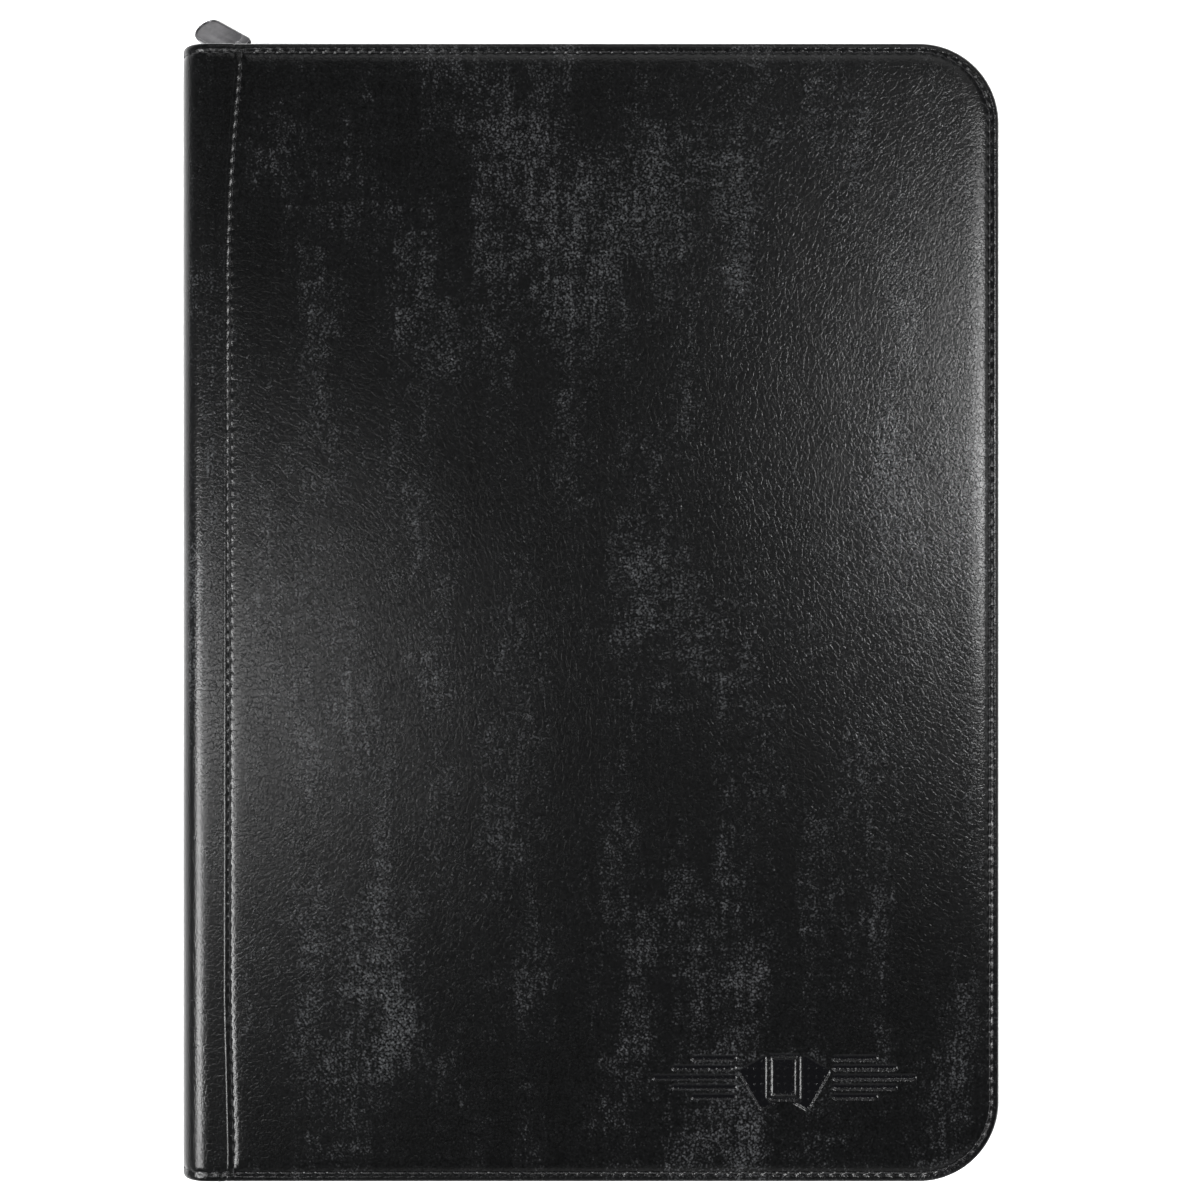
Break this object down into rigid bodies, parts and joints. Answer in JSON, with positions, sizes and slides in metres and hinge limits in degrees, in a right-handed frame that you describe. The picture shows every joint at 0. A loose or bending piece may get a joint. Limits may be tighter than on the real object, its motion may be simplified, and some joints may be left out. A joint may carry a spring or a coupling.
{
  "type": "trading card binder",
  "caption": "Zip-up padded binder with a hinged spine, two covers and nine-pocket pages that fan open, and a slider with a pull tab.",
  "frame": {"origin": "middle of the back cover's outer face, on which the shut binder lies", "axes": "+X from the spine to the open edge, +Y to the top edge, +Z from the back cover to the front cover"},
  "size_m": [0.2573, 0.372, 0.038],
  "materials": {
    "leatherette": "brushed, lightly grained black leatherette with soft sheen",
    "foam": "open-cell padding, hidden",
    "board": "grey-brown pressed board, hidden",
    "lining": "fine black woven lining",
    "zip_tape": "herringbone woven black tape",
    "zip_coil": "black nylon coil",
    "thread": "black bonded thread",
    "zip_metal": "satin gunmetal plating",
    "page_film": "clear side-loading pocket film with a fine orange-peel"
  },
  "bodies": {
    "back_cover": {"back_skin": "leatherette", "back_foam": "foam", "back_board": "board", "back_lining": "lining", "back_zip_tape": "zip_tape", "back_zip_coil": "zip_coil", "back_top_stop": "zip_metal", "bottom_stop": "zip_metal"},
    "spine": {"spine_skin": "leatherette", "spine_board": "board", "spine_lining": "lining", "binding_strip": "lining", "top_gusset": "zip_tape", "bottom_gusset": "zip_tape"},
    "front_cover": {"front_skin": "leatherette", "front_foam": "foam", "front_board": "board", "front_lining": "lining", "front_zip_tape": "zip_tape", "front_zip_coil": "zip_coil", "front_top_stop": "zip_metal"},
    "zip_slider": {"slider_body": "zip_metal", "slider_bail": "zip_metal"},
    "pull_ring": {"pull_ring": "zip_metal"},
    "pull_tab": {"pull_tab": "zip_metal"},
    "page_01": {"page_01": "page_film"},
    "page_02": {"page_02": "page_film"},
    "page_03": {"page_03": "page_film"},
    "page_04": {"page_04": "page_film"},
    "page_05": {"page_05": "page_film"},
    "page_06": {"page_06": "page_film"},
    "page_07": {"page_07": "page_film"},
    "page_08": {"page_08": "page_film"},
    "page_09": {"page_09": "page_film"},
    "page_10": {"page_10": "page_film"},
    "page_11": {"page_11": "page_film"},
    "page_12": {"page_12": "page_film"},
    "page_13": {"page_13": "page_film"},
    "page_14": {"page_14": "page_film"},
    "page_15": {"page_15": "page_film"},
    "page_16": {"page_16": "page_film"},
    "page_17": {"page_17": "page_film"},
    "page_18": {"page_18": "page_film"},
    "page_19": {"page_19": "page_film"},
    "page_20": {"page_20": "page_film"}
  },
  "joints": [
    {"name": "spine_open", "type": "hinge", "parent": "back_cover", "child": "spine", "pos_m": [-0.12585, 0, 0.00215], "axis": [0, -1, 0], "range_deg": [0, 90]},
    {"name": "front_cover_open", "type": "hinge", "parent": "spine", "child": "front_cover", "pos_m": [-0.12585, 0, 0.03585], "axis": [0, -1, 0], "range_deg": [0, 90]},
    {"name": "page_01_turn", "type": "hinge", "parent": "spine", "child": "page_01", "pos_m": [-0.12, 0, 0.00617], "axis": [0, -1, 0], "range_deg": [-87, 0]},
    {"name": "page_02_turn", "type": "hinge", "parent": "spine", "child": "page_02", "pos_m": [-0.12, 0, 0.00752], "axis": [0, -1, 0], "range_deg": [-79, 0]},
    {"name": "page_03_turn", "type": "hinge", "parent": "spine", "child": "page_03", "pos_m": [-0.12, 0, 0.00887], "axis": [0, -1, 0], "range_deg": [-75, 0]},
    {"name": "page_04_turn", "type": "hinge", "parent": "spine", "child": "page_04", "pos_m": [-0.12, 0, 0.01022], "axis": [0, -1, 0], "range_deg": [-71, 0]},
    {"name": "page_05_turn", "type": "hinge", "parent": "spine", "child": "page_05", "pos_m": [-0.12, 0, 0.01158], "axis": [0, -1, 0], "range_deg": [-67, 0]},
    {"name": "page_06_turn", "type": "hinge", "parent": "spine", "child": "page_06", "pos_m": [-0.12, 0, 0.01293], "axis": [0, -1, 0], "range_deg": [-63, 0]},
    {"name": "page_07_turn", "type": "hinge", "parent": "spine", "child": "page_07", "pos_m": [-0.12, 0, 0.01427], "axis": [0, -1, 0], "range_deg": [-59, 0]},
    {"name": "page_08_turn", "type": "hinge", "parent": "spine", "child": "page_08", "pos_m": [-0.12, 0, 0.01562], "axis": [0, -1, 0], "range_deg": [-55, 0]},
    {"name": "page_09_turn", "type": "hinge", "parent": "spine", "child": "page_09", "pos_m": [-0.12, 0, 0.01698], "axis": [0, -1, 0], "range_deg": [-51, 0]},
    {"name": "page_10_turn", "type": "hinge", "parent": "spine", "child": "page_10", "pos_m": [-0.12, 0, 0.01833], "axis": [0, -1, 0], "range_deg": [-47, 0]},
    {"name": "page_11_turn", "type": "hinge", "parent": "spine", "child": "page_11", "pos_m": [-0.12, 0, 0.01968], "axis": [0, -1, 0], "range_deg": [0, 47]},
    {"name": "page_12_turn", "type": "hinge", "parent": "spine", "child": "page_12", "pos_m": [-0.12, 0, 0.02102], "axis": [0, -1, 0], "range_deg": [0, 51]},
    {"name": "page_13_turn", "type": "hinge", "parent": "spine", "child": "page_13", "pos_m": [-0.12, 0, 0.02237], "axis": [0, -1, 0], "range_deg": [0, 55]},
    {"name": "page_14_turn", "type": "hinge", "parent": "spine", "child": "page_14", "pos_m": [-0.12, 0, 0.02372], "axis": [0, -1, 0], "range_deg": [0, 59]},
    {"name": "page_15_turn", "type": "hinge", "parent": "spine", "child": "page_15", "pos_m": [-0.12, 0, 0.02508], "axis": [0, -1, 0], "range_deg": [0, 63]},
    {"name": "page_16_turn", "type": "hinge", "parent": "spine", "child": "page_16", "pos_m": [-0.12, 0, 0.02643], "axis": [0, -1, 0], "range_deg": [0, 67]},
    {"name": "page_17_turn", "type": "hinge", "parent": "spine", "child": "page_17", "pos_m": [-0.12, 0, 0.02778], "axis": [0, -1, 0], "range_deg": [0, 71]},
    {"name": "page_18_turn", "type": "hinge", "parent": "spine", "child": "page_18", "pos_m": [-0.12, 0, 0.02913], "axis": [0, -1, 0], "range_deg": [0, 75]},
    {"name": "page_19_turn", "type": "hinge", "parent": "spine", "child": "page_19", "pos_m": [-0.12, 0, 0.03047], "axis": [0, -1, 0], "range_deg": [0, 79]},
    {"name": "page_20_turn", "type": "hinge", "parent": "spine", "child": "page_20", "pos_m": [-0.12, 0, 0.03182], "axis": [0, -1, 0], "range_deg": [0, 87]},
    {"name": "zip_slide", "type": "slide", "parent": "back_cover", "child": "zip_slider", "axis": [1, 0, 0], "range_m": [0, 0.2]},
    {"name": "pull_ring_swing", "type": "hinge", "parent": "zip_slider", "child": "pull_ring", "pos_m": [-0.108, 0.1775, 0.019], "axis": [0, 0, 1], "range_deg": [-105, 10]},
    {"name": "pull_tab_tilt", "type": "hinge", "parent": "pull_ring", "child": "pull_tab", "pos_m": [-0.11045, 0.17986, 0.019], "axis": [-0.6819, -0.7061, 0.1908], "range_deg": [-65, 17]}
  ],
  "couplings": [
    {"joint": "front_cover_open", "follows": "spine_open", "ratio": 1},
    {"joint": "page_01_turn", "follows": "spine_open", "ratio": -0.96667},
    {"joint": "page_02_turn", "follows": "spine_open", "ratio": -0.87778},
    {"joint": "page_03_turn", "follows": "spine_open", "ratio": -0.83333},
    {"joint": "page_04_turn", "follows": "spine_open", "ratio": -0.78889},
    {"joint": "page_05_turn", "follows": "spine_open", "ratio": -0.74444},
    {"joint": "page_06_turn", "follows": "spine_open", "ratio": -0.7},
    {"joint": "page_07_turn", "follows": "spine_open", "ratio": -0.65556},
    {"joint": "page_08_turn", "follows": "spine_open", "ratio": -0.61111},
    {"joint": "page_09_turn", "follows": "spine_open", "ratio": -0.56667},
    {"joint": "page_10_turn", "follows": "spine_open", "ratio": -0.52222},
    {"joint": "page_11_turn", "follows": "spine_open", "ratio": 0.52222},
    {"joint": "page_12_turn", "follows": "spine_open", "ratio": 0.56667},
    {"joint": "page_13_turn", "follows": "spine_open", "ratio": 0.61111},
    {"joint": "page_14_turn", "follows": "spine_open", "ratio": 0.65556},
    {"joint": "page_15_turn", "follows": "spine_open", "ratio": 0.7},
    {"joint": "page_16_turn", "follows": "spine_open", "ratio": 0.74444},
    {"joint": "page_17_turn", "follows": "spine_open", "ratio": 0.78889},
    {"joint": "page_18_turn", "follows": "spine_open", "ratio": 0.83333},
    {"joint": "page_19_turn", "follows": "spine_open", "ratio": 0.87778},
    {"joint": "page_20_turn", "follows": "spine_open", "ratio": 0.96667}
  ]
}
